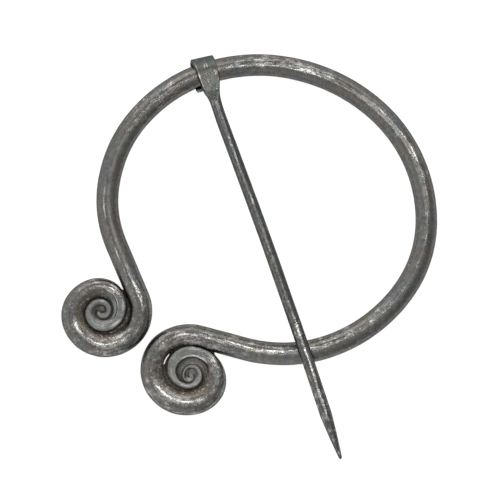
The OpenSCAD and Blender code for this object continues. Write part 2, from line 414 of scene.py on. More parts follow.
# Where the strip's flare grows, from its middle at 0 to its left edge at 1, how calm its skin is,
# how bright its edge's painted highlight is away from the bend, where the bend is worn and painted bright,
# and how far calm shows on the pin
FLARE_SIDE = (0.5, 0.9)
STRIP_CALM = 0.35
BEVEL_LEAST = 0.3
BEND_SIDE = (0, 1.4)
PIN_CALM_SHOWS = 0.7

# Mesh fineness: steps along the hoop, the scrolls' coils and the shank in millimetres, the least
# and most degrees of a step in a scroll, degrees of a step round the loop, sections in the point's
# taper and how they crowd to its end, and sides of the two rods
HOOP_STEP = 0.36
SCROLL_ARC = 0.33
SCROLL_STEPS = (1.5, 5.0)
SHANK_STEP = 0.16
LOOP_STEP = 2.5
TAPER_STEPS = 60
TAPER_CROWDS = 1.5
ROD_SIDES = 84
PIN_SIDES = 80
# Points of an outline before they are spaced evenly
OUTLINE_POINTS = 360
# The relief stays this far inside the box of the CAD part
BOX_ROOM = 0.01


def blend(table, x, column):
    """Smooth value of a table's column between its rows, level at both ends, as in the CAD part."""
    last = len(table) - 1

    def slope(i):
        if i in (0, last):
            return 0.0
        return (table[i + 1][column] - table[i - 1][column]) / (table[i + 1][0] - table[i - 1][0])

    i = 0
    while i < last - 1 and x >= table[i + 1][0]:
        i += 1
    d = table[i + 1][0] - table[i][0]
    u = (x - table[i][0]) / d
    rise = u * (1 - u) ** 2 * d * slope(i) - u * u * (1 - u) * d * slope(i + 1)
    return (1 + 2 * u) * (1 - u) ** 2 * table[i][column] + u * u * (3 - 2 * u) * table[i + 1][column] + rise


def smooth(x, low, high):
    """0 below low, 1 above high, and a soft step between."""
    t = np.clip((np.asarray(x, float) - low) / (high - low), 0, 1)
    return t * t * (3 - 2 * t)


def full_turn():
    """Cosine and sine of a full turn's angles."""
    a = np.linspace(0, 2 * math.pi, OUTLINE_POINTS + 1)
    return np.cos(a), np.sin(a)


def evenly(x, y, count):
    """Evenly spaced points of a closed outline."""
    length = np.concatenate([[0], np.cumsum(np.hypot(np.diff(x), np.diff(y)))])
    at = np.arange(count) / count * length[-1]
    return np.stack([np.interp(at, length, x), np.interp(at, length, y)], 1)


def outline(width, height, sq_plus, sq_minus, count):
    """Closed section with evenly spaced points, from its +side over the top. Each half has its
    own squareness."""
    c, s = full_turn()
    power = np.where(c >= 0, 2 / sq_plus, 2 / sq_minus)
    x = width / 2 * np.sign(c) * np.abs(c) ** power
    y = height / 2 * np.sign(s) * np.abs(s) ** power
    return evenly(x, y, count)


def rounded(width, height, radius, count):
    """Closed section of a flat bar with rounded edges, with evenly spaced points."""
    c, s = full_turn()
    radius = min(radius, width / 2, height / 2)
    x = (width / 2 - radius) * np.sign(np.round(c, 9)) + radius * c
    y = (height / 2 - radius) * np.sign(np.round(s, 9)) + radius * s
    return evenly(x, y, count)


def coil_gaps(scroll, turn, closes, openings):
    """Room between a coil and the coils inside and outside it, at a turn of the scroll."""
    last = scroll[-1][TURN]
    outer = blend(scroll, turn, OUTER)
    inner = outer - blend(scroll, turn, WIDTH)
    inside = inner
    outside = 0.0
    if turn + 360 < last:
        inside -= blend(scroll, turn + 360, OUTER)
        inside *= float(smooth(turn, *INSIDE_GROWS))
    if turn >= 360:
        outside = blend(scroll, turn - 360, OUTER) - blend(scroll, turn - 360, WIDTH) - outer
    elif turn > closes - BEFORE_CLOSING:
        straight = scroll[0][OUTER] - scroll[0][WIDTH]
        outside = straight / math.cos(math.radians(360 - turn)) - outer
        outside *= float(smooth(turn, closes - BEFORE_CLOSING, closes + AFTER_CLOSING))
    fill = SEAM_FILL * float(smooth(turn, *FILL_GROWS))
    for middle, reach, room in openings:
        closed = float(smooth(abs(turn - middle), reach * OPEN_SHARE, reach))
        outside -= (room + MEET) * (1 - closed)
        fill *= closed
    return inside, outside + fill


def left_of(heading):
    """Unit vector to the left of a heading in degrees, in the plane of the hoop."""
    h = math.radians(heading)
    return np.array([-math.sin(h), math.cos(h)])


def forward(heading):
    """Unit vector along a heading in degrees, in the plane of the hoop."""
    h = math.radians(heading)
    return np.array([math.cos(h), math.sin(h)])


def branch(bends, run, scroll, side, heading, end_d, closes, openings, crease):
    """Stations of one branch from the loop outwards: (point, side vector, width, height, squareness
    of both sides, turn in the scroll or -1 before it, skirts, step). The side vector points out of
    the hoop, and in a scroll to its middle. The step is a crease's place across, and its depth."""
    stations = []
    at = np.zeros(2)
    total = sum(r * math.radians(sweep) for r, sweep in bends) + run
    gone = 0.0

    def add(point, h, width, height, turn, sq_plus, sq_minus, skirts, step):
        out = -side * left_of(h)
        stations.append((point, out, width, height, sq_plus, sq_minus, turn, skirts, step))

    def add_round(point, h, length):
        d = ROD_D + (end_d - ROD_D) * length / total
        add(point, h, d, d, -1.0, 2.0, 2.0, (0.0, 0.0), NO_STEP)

    for r, sweep in bends:
        centre = at + side * r * left_of(heading)
        length = r * math.radians(sweep)
        count = round(length / HOOP_STEP)
        for k in range(count):
            h = heading + side * sweep * k / count
            add_round(centre - side * r * left_of(h), h, gone + length * k / count)
        gone += length
        heading += side * sweep
        at = centre - side * r * left_of(heading)
    count = round(run / HOOP_STEP)
    for k in range(count):
        add_round(at + forward(heading) * run * k / count, heading, gone + run * k / count)
    at = at + forward(heading) * run
    roll = -side
    foot = scroll[0][OUTER] - scroll[0][WIDTH] / 2
    centre = at + roll * foot * left_of(heading)
    last = scroll[-1][TURN]
    turn = 0.0
    while True:
        width = blend(scroll, turn, WIDTH)
        mid = blend(scroll, turn, OUTER) - width / 2
        h = heading + roll * turn
        point = centre - roll * mid * left_of(h)
        gaps = coil_gaps(scroll, turn, closes, openings)
        skirts = tuple(gap + MEET if gap > LEAST_GAP else 0.0 for gap in gaps)
        add(point, h, width, blend(scroll, turn, HEIGHT), turn, blend(scroll, turn, SQ_INNER),
            blend(scroll, turn, SQ_OUTER), skirts, crease(turn) if crease else NO_STEP)
        if turn >= last:
            return stations
        turn = min(last, turn + float(np.clip(math.degrees(SCROLL_ARC / mid), *SCROLL_STEPS)))


def left_crease(turn):
    """Place across and depth of the step inside the left scroll's flat top."""
    start, end, first, last, _, _ = LEFT_LINES[0]
    u = float(np.clip((turn - start) / (end - start), 0, 1))
    starts = smooth(turn, start, start + 2 * LINE_FADE)
    ends = smooth(turn, end - LINE_FADE, end + LINE_FADE)
    return first + (last - first) * u, CREASE_DEPTH * float(starts * (1 - ends))


def rings_of(stations, sides):
    """Points of every section, in the upright plane through its side vector, with each point's
    place across its section from -1 to 1 and how far a skirt moved it."""
    rings = np.zeros((len(stations), sides, 3))
    across = np.zeros((len(stations), sides))
    moved = np.zeros((len(stations), sides))
    burr_at, burr_wide, burr_high = BURR
    for k, (point, out, width, height, sq_plus, sq_minus, turn, skirts, step) in enumerate(stations):
        section = outline(width, height, sq_plus, sq_minus, sides)
        across[k] = section[:, 0] / (width / 2)
        up = section[:, 1] / (height / 2)
        if max(skirts) > 0:
            slope = np.clip(1 - np.abs(up) - SKIRT_START, 0, 1) / (1 - SKIRT_START)
            reach = np.where(section[:, 0] > 0, skirts[0], -skirts[1])
            slope = slope ** (SKIRT_CURVE[0] + SKIRT_CURVE[1] * smooth(np.abs(reach), *DEEP))
            moved[k] = reach * slope * smooth(np.abs(across[k]), *SKIRT_SIDES)
        there = float(smooth(turn, *TOP_GROWS))
        lean = math.tan(math.radians(TOP_LEAN)) * there
        top = np.clip(up, 0, 1)
        burr = burr_high * there * float(1 - smooth(turn, *BURR_ENDS))
        burr = burr * np.exp(-((across[k] - burr_at) / burr_wide) ** 2)
        drop = step[1] * smooth(across[k], step[0], step[0] + CREASE_WIDE)
        section[:, 1] += (burr - drop - lean * (section[:, 0] + width / 2)) * top
        section[:, 0] += moved[k]
        rings[k, :, 0] = point[0] + out[0] * section[:, 0]
        rings[k, :, 1] = point[1] + out[1] * section[:, 0]
        rings[k, :, 2] = section[:, 1]
    return rings, across, moved


def waves(station, start, rows):
    """Sum of waves along the rod, shifted by where they start, so that no two stretches match."""
    return sum(high * np.sin(station / long + times * start) for high, long, times in rows)


def flatten(rings, x, out, radius, station, flats):
    """Cut soft flats into a round rod. They wander a little, as blows do."""
    z = rings[:, :, 2]
    for start, end, tilt, depth in flats:
        t = np.radians(tilt + FLAT_WANDER * waves(station, start, FLAT_WAVES))[:, None]
        there = within(station, start, end)
        uneven = 1 + waves(station, start, DEPTH_WAVES)
        over = x * np.sin(t) + z * np.cos(t) - radius + (depth * uneven * there)[:, None]
        push = FLAT_SOFT * np.logaddexp(0, over / FLAT_SOFT) * (there > 0)[:, None]
        rings = rings - (push * np.sin(t))[:, :, None] * out[:, None, :]
        rings[:, :, 2] -= push * np.cos(t)
    return rings


def within(station, start, end):
    """1 between start and end, with soft ends inside them."""
    return smooth(station, start, start + FADE) * (1 - smooth(station, end - FADE, end))


def ridges_on(x, z, station, ridges):
    """How near each point of a rod is to a ridge, from 0 to how bright the ridge's painted highlight is."""
    tilt = np.degrees(np.arctan2(x, z))
    near = np.zeros(x.shape)
    for start, end, first, last, wide, wear_and_highlight in ridges:
        u = np.clip((station - start) / (end - start), 0, 1)
        wander = waves(station, start, RIDGE_WAVES) * min(1, wide / WANDER_WIDTH)
        middle = (first + (last - first) * u + wander)[:, None]
        broken = BROKEN + waves(station, start, BREAK_WAVES)
        line = np.exp(-((tilt - middle) / wide) ** 2)
        near = np.maximum(near, wear_and_highlight * line * (broken * within(station, start, end))[:, None])
    return near


def lines_on(across, turn, lines):
    """How near each point of a coil is to a painted highlight line, from 0 to how bright the line is."""
    near = np.zeros(across.shape)
    for start, end, first, last, wide, wear_and_highlight in lines:
        u = np.clip((turn - start) / (end - start), 0, 1)
        there = smooth(turn, start, start + LINE_FADE) * (1 - smooth(turn, end - LINE_FADE, end))
        line = np.exp(-((across - first - (last - first) * u) / wide) ** 2)
        near = np.maximum(near, wear_and_highlight * line * there)
    return near


def outward(rings):
    """Unit normals of a tube of rings, out of the metal."""
    along = np.gradient(rings, axis=0)
    around = np.roll(rings, -1, 1) - np.roll(rings, 1, 1)
    n = np.cross(around, along)
    n /= np.maximum(np.linalg.norm(n, axis=2, keepdims=True), 1e-9)
    middle = rings.mean(1, keepdims=True)
    if ((rings - middle) * n).sum() < 0:
        n = -n
    return n


def lengths(rings):
    """Distance of each ring along the tube's middle line."""
    middle = rings.mean(1)
    return np.concatenate([[0], np.cumsum(np.linalg.norm(np.diff(middle, axis=0), axis=1))])


def summed(table, station):
    """Sum of a table's (start, end, how much) rows at each station, as a column."""
    return sum(much * within(station, start, end) for start, end, much in table)[:, None]


def brushed_high(facets, dents, scale):
    """How high each point stands for the brush, from 0 in the hollows to 1 on the bumps."""
    by_facets, by_dents, by_scale = BARED_BY
    return 0.5 + 0.5 * np.clip(by_facets * facets + by_dents * dents + by_scale * scale, -1, 1)


def grain(points, size, seed):
    """Soft noise from -1 to 1 at each point, with bumps of about the given size in millimetres."""
    flat = points.reshape(-1, 3) / size + np.array(SEED_STEP) * seed
    values = np.array([noise.noise(Vector(p)) for p in flat])
    return values.reshape(points.shape[:-1])


def streaks(rings, size, seed):
    """Noise drawn out along the tube. Size is its length along the tube and its width round it."""
    long, wide = size
    s = lengths(rings)[:, None]
    sides = rings.shape[1]
    a = 2 * math.pi * np.arange(sides)[None, :] / sides
    step = np.linalg.norm(rings - np.roll(rings, 1, 1), axis=2).sum(1)[:, None]
    reach = step / (2 * math.pi)
    points = np.stack(np.broadcast_arrays(s / long, reach * np.cos(a) / wide, reach * np.sin(a) / wide), 2)
    return grain(points, 1.0, seed)


def tube(name, rings, attributes, matrix):
    """Closed mesh of a tube of rings, with numbers kept on its points, placed by matrix in metres."""
    count, sides, _ = rings.shape
    points = np.concatenate([rings.reshape(-1, 3), rings[:1].mean(1), rings[-1:].mean(1)])
    first, last = count * sides, count * sides + 1
    k, i = np.meshgrid(np.arange(count - 1), np.arange(sides), indexing="ij")
    j = (i + 1) % sides
    quads = np.stack([k * sides + i, k * sides + j, (k + 1) * sides + j, (k + 1) * sides + i], 2)
    faces = quads.reshape(-1, 4).tolist()
    end = (count - 1) * sides
    for n in range(sides):
        m = (n + 1) % sides
        faces.append([first, m, n])
        faces.append([last, end + n, end + m])
    mesh = bpy.data.meshes.new(name)
    mesh.from_pydata((points * MM).tolist(), [], faces)
    for key, values in attributes.items():
        numbers = values.reshape(count * sides, -1)
        numbers = np.concatenate([numbers, numbers[:1], numbers[-1:]]).astype(np.float32)
        kind, field = ("FLOAT_VECTOR", "vector") if numbers.shape[1] == 3 else ("FLOAT", "value")
        mesh.attributes.new(key, kind, "POINT").data.foreach_set(field, numbers.ravel())
    mesh.transform(matrix)
    keep_inside(mesh)
    if signed_volume(mesh) < 0:
        mesh.flip_normals()
    mesh.shade_smooth()
    mesh.update()
    piece = bpy.data.objects.new(name, mesh)
    bpy.context.scene.collection.objects.link(piece)
    return piece


def keep_inside(mesh):
    """Hold the relief inside the CAD part's own box."""
    co = np.zeros(len(mesh.vertices) * 3)
    mesh.vertices.foreach_get("co", co)
    low, high = (np.array(corner) for corner in cad_box)
    co = np.clip(co.reshape(-1, 3), low + BOX_ROOM * MM, high - BOX_ROOM * MM)
    mesh.vertices.foreach_set("co", co.ravel())


def signed_volume(mesh):
    """Six times the volume inside the faces, below zero where they are wound inside out."""
    co = np.zeros(len(mesh.vertices) * 3)
    mesh.vertices.foreach_get("co", co)
    co = co.reshape(-1, 3)
    mesh.calc_loop_triangles()
    tris = np.zeros(len(mesh.loop_triangles) * 3, np.int32)
    mesh.loop_triangles.foreach_get("vertices", tris)
    a, b, c = (co[tris.reshape(-1, 3)[:, n]] for n in range(3))
    return float(np.einsum("ij,ij->i", a, np.cross(b, c)).sum())


def rest_matrix():
    """From the rod's axis at the loop, in millimetres made metres, to the brooch as it lies."""
    tilt = math.asin((LOOP_R - ROD_R) / REST_SPAN)
    place = Matrix.Translation(Vector((LOOP_AT[0], LOOP_AT[1], LOOP_R)) * MM)
    turn = Matrix.Rotation(math.radians(LOOP_HEADING + REST_TURN), 4, "Z")
    lean = Matrix.Rotation(tilt, 4, "X")
    return place @ turn @ lean @ Matrix.Rotation(math.radians(-REST_TURN), 4, "Z")


def swell(station, across):
    """How far each point of the hoop is moved, outwards or inwards, where the blows left it wider."""
    first, last = HOOP_SWELL[0][0], HOOP_SWELL[-1][0]
    places = [float(np.clip(d, first, last)) for d in station]
    more = np.array([[blend(HOOP_SWELL, d, side) for side in (OUTSIDE, INSIDE)] for d in places])
    return np.where(across > 0, more[:, :1], more[:, 1:]) * across


def either_way(moved, outside, inside):
    """How much of something is in the seams, on the skirts to the coil outside and inside."""
    out_from, out_to, out_much = outside
    in_from, in_to, in_much = inside
    return np.maximum(out_much * smooth(-moved, out_from, out_to), in_much * smooth(moved, in_from, in_to))


def make_ring():
    """Hoop and both scrolls as one swept rod, from the left scroll's tip to the lower scroll's."""
    left = branch(LEFT_BENDS, LEFT_RUN, LEFT_SCROLL, 1, 180, LEFT_END_D, LEFT_CLOSES, [], left_crease)
    right = branch(RIGHT_BENDS, RIGHT_RUN, LOWER_SCROLL, -1, 0, RIGHT_END_D, LOWER_CLOSES,
                   LIGHT_GAPS, None)
    stations = left[:0:-1] + right
    rings, across, moved = rings_of(stations, ROD_SIDES)
    station = lengths(rings)
    station = station - station[len(left) - 1]
    _, outs, widths, heights, _, _, turns, _, _ = (np.array(column) for column in zip(*stations))
    radius = widths[:, None] / 2
    out = np.column_stack([outs, np.zeros(len(outs))])
    turn = turns[:, None]
    on_left = station[:, None] < 0
    rings = rings + swell(station, across)[:, :, None] * out[:, None, :]
    # Ridges stand a little higher and carry a painted highlight of bare metal
    ridge_highlight = ridges_on(across * radius, rings[:, :, 2], station, HOOP_HIGHLIGHT_RIDGES)
    above = smooth(rings[:, :, 2], *ABOVE)
    rings = flatten(rings, across * radius, out, radius, station, HOOP_FLATS)
    normals = outward(rings)

    # Skin: satin, calm scale and what drawing out made smooth
    satin = SATIN[2] * within(station, *SATIN[:2])[:, None] * smooth(across, *SATIN_SIDE)
    inside = CALM_INSIDE[2] * within(station, *CALM_INSIDE[:2])[:, None] * smooth(-across, *INNER_SIDE)
    left_calm = LEFT_CALM * smooth(turn, *CALM_GROWS) * on_left
    calm = np.maximum.reduce([summed(CALM, station) + 0 * across, inside, left_calm + 0 * across, satin])
    left_drawn = 1 - LEFT_DRAWN_FADES * smooth(turn, *LEFT_DRAWN_ENDS)
    lower_drawn = 1 + LOWER_DRAWN_GAINS * smooth(turn, *LOWER_DRAWN_GROWS)
    drawn = smooth(turn, *DRAWN_GROWS) * np.where(on_left, left_drawn, lower_drawn)
    drawn = np.maximum(drawn, SATIN_DRAWN * satin)
    core = smooth(turn, *CORE_GROWS) + 0 * across

    # Relief, less where the metal is thin
    size = np.minimum(widths, heights)[:, None]
    heavy = np.clip(size / ROD_D, LEAST_RELIEF, 1)
    facets = streaks(rings, FACET, 1)
    dents = grain(rings, DENT, 2)
    scale = grain(rings, FLAKE, 3)
    facet_high, dent_high, flake_high, stands_out = RELIEF
    rough = (1 - CALM_FLATTENS * calm) * (dent_high * dents + flake_high * scale)
    relief = heavy * (facet_high * facets + rough + RIDGE_HIGH * ridge_highlight)
    rings = rings + normals * (relief + stands_out * heavy)[:, :, None]

    # Wear, and painted highlights on the ridges, crests and coil lines
    high = brushed_high(facets, dents, scale)
    # Painted highlight lines along the coils' edges, on their upper side
    rim_highlight = np.where(on_left, lines_on(across, turn, LEFT_LINES), lines_on(across, turn, LOWER_LINES))
    rim_highlight = rim_highlight * above
    # Painted highlight on the crests of some stretches, over their wear
    crest_highlight = summed(CREST_HIGHLIGHTS, station) * above * smooth(across, *CREST_HIGHLIGHT_SIDE)
    rolled = smooth(turn, *ROLLED_GROWS) * smooth(-across, *ROLLED_SIDE)
    high = high + RIDGE_HIGHLIGHT_ADDS * ridge_highlight + crest_highlight + ROLLED_BARES * rolled - CALM_KEEPS * calm
    high = np.clip(high + LINE_HIGHLIGHT_ADDS * rim_highlight, 0, MOST_BARE)

    # Wax and soot
    waxed = smooth(across, *WAX_SIDE) * smooth(turn, *WAX_GROWS) * (1 - smooth(turn, *WAX_ENDS))
    seam = either_way(moved, SEAM_OUT, SEAM_IN) * (1 - CORE_CLEANS * core)
    near_loop = 1 - smooth(np.abs(station), *GRIME_REACH)[:, None]
    deep = either_way(moved, SOOT_OUT, SOOT_IN) * smooth(turn, *SOOT_GROWS)
    values = {
        "in_rod": np.stack([station[:, None] + 0 * across, across * radius, rings[:, :, 2]], 2),
        "high": high,
        "crevice": np.maximum(waxed, seam),
        "grime": np.maximum(near_loop, deep),
        "drawn": drawn,
        "core": core,
        "calm": np.maximum(calm, DRAWN_CALM * drawn) * (1 - np.minimum(rim_highlight, 1)) * (1 - np.minimum(ridge_highlight, 1)),
    }
    return tube("ring_forged", rings, values, rest_matrix())


def strip_sections():
    """Sections of the strip rolled round the rod, from its tail end to the top of the loop."""
    sections = []
    tail = LOOP_STRIP[-1][ANGLE]
    for angle in np.arange(tail, 0, -LOOP_STEP):
        a = math.radians(angle)
        low, high = blend(LOOP_STRIP, angle, LEFT), blend(LOOP_STRIP, angle, RIGHT)
        up = np.array([0, math.sin(a), math.cos(a)])
        middle = NECK_H * up + np.array([(low + high) / 2, 0, 0])
        end = 1 - (1 - min(1.0, (tail - angle) / TAIL_ROUNDS + TAIL_THIN)) ** 2
        width = (high - low) * (TAIL_NARROW + (1 - TAIL_NARROW) * end)
        sections.append((middle, np.array([1.0, 0, 0]), up, width, STRIP_T * math.sqrt(end), EDGE_R, 1.0))
    return sections


def shank_sections():
    """Sections of the neck, the shank and the point, from the top of the loop."""
    sections = []
    turned = math.radians(SHANK_TURN)
    stop = PIN_LEN - POINT_CUT
    taper = PIN_LEN - POINT_LEN * np.cos(np.linspace(0, math.pi / 2, TAPER_STEPS)) ** TAPER_CROWDS
    for d in [*np.arange(0, PIN_LEN - POINT_LEN, SHANK_STEP), *taper]:
        d = min(d, stop)
        along = min(d, EVEN_START)
        aside, width, thick, square = (blend(SHANK, along, c) for c in (ASIDE, ACROSS, THICK, SQUARE))
        edge = EDGE_R + (thick / 2 - EDGE_R) * float(1 - smooth(square, *ROUNDS_OFF))
        left = 1.0
        if d > PIN_LEN - POINT_LEN:
            to_go = (PIN_LEN - d) / POINT_LEN
            left = (BLUNT + (1 - BLUNT) * to_go ** BULGE) * min(1, to_go / TIP_ROUND) ** 0.5
        aside -= SHANK_LEFT * float(smooth(d, *SHANK_MOVES))
        middle = np.array([aside * math.cos(turned) + d * math.sin(turned),
                           aside * math.sin(turned) - d * math.cos(turned), NECK_H])
        lean = turned * float(smooth(d, *SHANK_TURNS))
        across = np.array([math.cos(lean), math.sin(lean), 0])
        flat = float(1 - smooth(d, *FLAT_ENDS))
        sections.append((middle, across, np.array([0, 0, 1.0]), width * left, thick * left, edge, flat))
    return sections


def make_pin():
    """Rolled strip, neck, shank and point as one swept rod. Its sections are (middle, side vector,
    up vector, width, thickness, edge radius, flatness), in the loop's frame."""
    sections = strip_sections() + shank_sections()
    rings = np.zeros((len(sections), PIN_SIDES, 3))
    place = np.zeros((len(sections), PIN_SIDES))
    tall = np.zeros((len(sections), PIN_SIDES))
    bevel = np.zeros((len(sections), PIN_SIDES))
    lean = math.tan(math.radians(STRIP_LEAN))
    for k, (middle, across, up, width, thick, edge, flatness) in enumerate(sections):
        flat = rounded(width, thick, edge, PIN_SIDES)
        on_left = smooth(-flat[:, 0] / (width / 2), *FLARE_SIDE)
        flat[:, 0] -= STRIP_FLARE * flatness * on_left * (0.5 - flat[:, 1] / thick)
        flat[:, 1] -= (flat[:, 0] + width / 2) * lean * flatness
        from_left = flat[:, 0] + width / 2
        bevel[k] = flatness * np.exp(-((from_left - BEVEL_IN) / BEVEL_WIDE) ** 2) * (flat[:, 1] > 0)
        flat[:, 1] += BEVEL_HIGH * bevel[k]
        rings[k] = middle + flat[:, :1] * across + flat[:, 1:] * up
        place[k] = flat[:, 0]
        tall[k] = flat[:, 1]
    _, out, ups, widths, thicknesses, _, flatness = (np.array(column) for column in zip(*sections))
    station = lengths(rings)
    station = station - station[np.argmax(ups[:, 2] >= 1)]
    rings[:, :, 2] -= NECK_H
    # Ridges stand a little higher and carry a painted highlight of bare metal
    ridge_highlight = ridges_on(place, rings[:, :, 2], station, PIN_HIGHLIGHT_RIDGES)
    rings = flatten(rings, place, out, widths[:, None] / 2, station, PIN_FLATS)
    rings[:, :, 2] += NECK_H
    normals = outward(rings)

    # Relief of the round shank and of the flat strip
    flatness = flatness[:, None]
    size = thicknesses[:, None]
    heavy = np.clip(size / SHANK_D, PIN_LEAST_RELIEF, 1)
    facets = streaks(rings, PIN_FACET, 11)
    dents = grain(rings, PIN_DENT, 12)
    scale = grain(rings, PIN_FLAKE, 13)
    facet_high, dent_high, flake_high, stands_out = PIN_RELIEF
    shank = facet_high * facets + dent_high * dents + flake_high * scale + RIDGE_HIGH * ridge_highlight + stands_out
    dent_high, flake_high, stands_out = STRIP_RELIEF
    strip = (dent_high * dents + flake_high * scale + stands_out) * smooth(size, *STRIP_RELIEF_GROWS)
    relief = heavy * (1 - flatness) * shank + flatness * strip
    rings = rings + normals * relief[:, :, None]

    # Wear, and painted highlights on the ridges, the strip's edge and its bend
    calm = np.maximum(STRIP_CALM * flatness, summed(PIN_CALM, station))
    # The strip's edge and bend get a painted highlight, brightest at the bend
    at_bend = np.exp(-((station[:, None] - BEND_HIGHLIGHT_PLACE[0]) / BEND_HIGHLIGHT_PLACE[1]) ** 2)
    bevel = bevel * (BEVEL_LEAST + (1 - BEVEL_LEAST) * at_bend)
    bend = BEND_WEAR_AND_HIGHLIGHT * flatness * at_bend * smooth(place, *BEND_SIDE)
    high = brushed_high(facets, dents, scale) + PIN_RIDGE_HIGHLIGHT_ADDS * ridge_highlight + BEVEL_HIGHLIGHT_ADDS * bevel
    values = {
        "in_rod": np.stack([station[:, None] + 0 * place, place, tall], 2),
        "high": np.clip(high + bend - PIN_CALM_KEEPS * calm, 0, MOST_BARE),
        "crevice": np.zeros_like(high),
        "grime": np.zeros_like(high),
        "drawn": flatness + 0 * place,
        "core": np.zeros_like(high),
        "calm": PIN_CALM_SHOWS * calm * (1 - bevel),
    }
    raised = math.asin((ROD_R + SHANK_GAP + SHANK_R - NECK_H) / CROSSING_AT)
    lay = Matrix.Rotation(math.radians(LOOP_SKEW), 4, "Z") @ Matrix.Rotation(-raised, 4, "X")
    return tube("pin_forged", rings, values, rest_matrix() @ lay)


ring = make_ring()
pin = make_pin()
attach(ring, "ring")
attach(pin, "pin")
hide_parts("ring")
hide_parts("pin")


class Nodes:
    """Short way to add and join shader nodes."""

    def __init__(self, material):
        material.use_nodes = True
        self.tree = material.node_tree
        self.tree.nodes.clear()

    def add(self, kind, **values):
        """New node with the given settings."""
        node = self.tree.nodes.new(kind)
        for key, value in values.items():
            setattr(node, key, value)
        return node

    def join(self, source, target):
        """Link an output to an input."""
        self.tree.links.new(source, target)

    def attribute(self, name):
        """A number kept on the mesh's points."""
        return self.add("ShaderNodeAttribute", attribute_name=name).outputs["Fac"]

    def noise(self, vector, size, detail, rough, seed):
        """Noise with bumps of about the given size in millimetres."""
        node = self.add("ShaderNodeTexNoise", noise_dimensions="4D")
        node.inputs["Scale"].default_value = 1 / (size * MM)
        node.inputs["Detail"].default_value = detail
        node.inputs["Roughness"].default_value = rough
        node.inputs["W"].default_value = seed
        self.join(vector, node.inputs["Vector"])
        return node.outputs["Fac"]

    def streak(self, vector, long, wide, detail, rough, seed):
        """Noise drawn out along the rod, for a vector in millimetres along it and across it."""
        scale = self.add("ShaderNodeVectorMath", operation="MULTIPLY")
        scale.inputs[1].default_value = (1 / long, 1 / wide, 1 / wide)
        self.join(vector, scale.inputs[0])
        return self.noise(scale.outputs["Vector"], 1 / MM, detail, rough, seed)

    def span(self, value, low, high, out_low=0.0, out_high=1.0):
        """Soft step from out_low where the value is low to out_high where it is high."""
        node = self.add("ShaderNodeMapRange", interpolation_type="SMOOTHSTEP")
        ends = {"From Min": low, "From Max": high, "To Min": out_low, "To Max": out_high}
        for key, number in ends.items():
            node.inputs[key].default_value = number
        self.join(value, node.inputs["Value"])
        return node.outputs["Result"]

    def math(self, kind, a, b):
        """Result of one operation on two sockets or numbers."""
        node = self.add("ShaderNodeMath", operation=kind)
        for socket, value in zip(node.inputs, (a, b)):
            if isinstance(value, (int, float)):
                socket.default_value = value
            else:
                self.join(value, socket)
        return node.outputs[0]

    def weigh(self, *rows):
        """Sum of (value, weight) rows."""
        total = self.math("MULTIPLY", *rows[0])
        for row in rows[1:]:
            total = self.math("ADD", total, self.math("MULTIPLY", *row))
        return total

    def finish(self, shader):
        """Make the shader the material's surface."""
        out = self.add("ShaderNodeOutputMaterial")
        self.join(shader.outputs["BSDF"], out.inputs["Surface"])

    def mix(self, factor, a, b, blend_type="MIX"):
        """Colour a where factor is 0, and b, or a blended with b, where it is 1."""
        node = self.add("ShaderNodeMix", data_type="RGBA", blend_type=blend_type)
        self.join(factor, node.inputs["Factor"])
        for socket, value in ((node.inputs["A"], a), (node.inputs["B"], b)):
            if isinstance(value, tuple):
                socket.default_value = (*value, 1)
            else:
                self.join(value, socket)
        return node.outputs["Result"]


# Noise in the iron's skin: size of its bumps in millimetres, detail, roughness and seed
CLOUD = (5.0, 3, 0.6, 1)
PATCH = (0.8, 3, 0.6, 3)
FINE = (0.36, 2, 0.6, 4)
GRAINS = (0.4, 1, 0.5, 6)
# Brush lines along the rod: length and width in millimetres, detail, roughness and seed
BRUSH = (1.7, 0.3, 2, 0.6, 7)
# Tints of the scale: (size, detail, roughness and seed of the noise, start, full, colour).
# The small ones are green and purple, and the wide ones warm and cool.
SMALL_TINTS = [
    ((0.8, 2, 0.5, 2), 0.5, 0.62, (0.88, 1.08, 0.94)),
    ((0.7, 2, 0.5, 5), 0.52, 0.64, (1.0, 0.86, 1.07)),
]
WIDE_TINTS = [
    ((3.5, 2, 0.5, 8), 0.42, 0.6, (1.06, 1.0, 0.94)),
    ((3.0, 2, 0.5, 9), 0.45, 0.62, (0.95, 1.01, 1.05)),
]
# Spans: the value at start and end, and the result there where it isn't 0 and 1
GREY_SPAN = (0.36, 0.64)
DRAWN_SPAN = (0.35, 0.65, 0.35, 0.75)
BARED_SPAN = (0.665, 0.8)
POLISHED_SPAN = (2.05, 2.5)
WAX_SPAN = (0.3, 0.55, 0.5, 1)
SOOT_SPAN = (0.35, 0.6, 0.9, 0.3)
GRAINS_SPAN = (0.6, 0.64)
METAL_SPAN = (0, 1, 1, 0.25)
ROUGH_SPAN = (0.2, 0.8, 0.18, 0.32)
# Colours
# Polished metal, painted as bright glints where the painted highlights are strongest
POLISHED_GLINT = (0.6, 0.59, 0.56)
WAX = (0.108, 0.089, 0.07)
WAX_GRAIN = (0.5, 0.43, 0.35)
SOOT = (0.16, 0.143, 0.126)
CORE = (0.2, 0.185, 0.17)
# How much a scroll's middle takes its own grey, and calm skin holds the brush off
CORE_SHOWS = 0.7
CALM_SHIELDS = 0.7
# Specular tint of the metal, and the depth of its bump in millimetres
EDGE_TINT = 0.45
BUMP_DEPTH = 0.09


